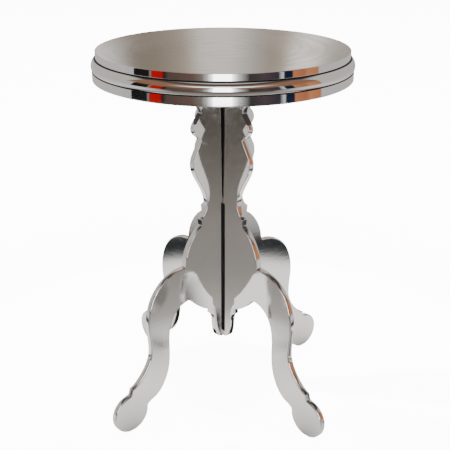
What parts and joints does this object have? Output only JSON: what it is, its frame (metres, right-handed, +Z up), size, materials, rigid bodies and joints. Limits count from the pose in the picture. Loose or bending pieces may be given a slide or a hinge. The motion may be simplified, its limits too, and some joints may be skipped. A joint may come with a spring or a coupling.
{
  "type": "round side table",
  "caption": "Round-topped side table in polished cast aluminium on crossed flat silhouette legs joined by a cross-lap.",
  "frame": {"origin": "on the floor, under the centre of the round top", "axes": "+Z up along the table's axis; one leg plate lies in the XZ plane and the other in the YZ plane"},
  "size_m": [0.4418, 0.4418, 0.56],
  "materials": {
    "polished_aluminium": "mirror polished cast aluminium",
    "turned_aluminium": "fine turned and polished aluminium",
    "zinc_steel": "zinc plated steel",
    "lacquered_board": "dark lacquered board"
  },
  "bodies": {
    "root": {"leg_plate_x": "polished_aluminium", "leg_plate_y": "polished_aluminium", "mount_flange": "zinc_steel", "spine_screw_1": "zinc_steel", "spine_screw_2": "zinc_steel", "spine_screw_3": "zinc_steel", "spine_screw_4": "zinc_steel", "board_screw_1": "zinc_steel", "board_screw_2": "zinc_steel", "board_screw_3": "zinc_steel", "board_screw_4": "zinc_steel", "core_board": "lacquered_board", "lower_band": "polished_aluminium", "bead_band": "polished_aluminium", "top_plate": "turned_aluminium"}
  },
  "joints": []
}
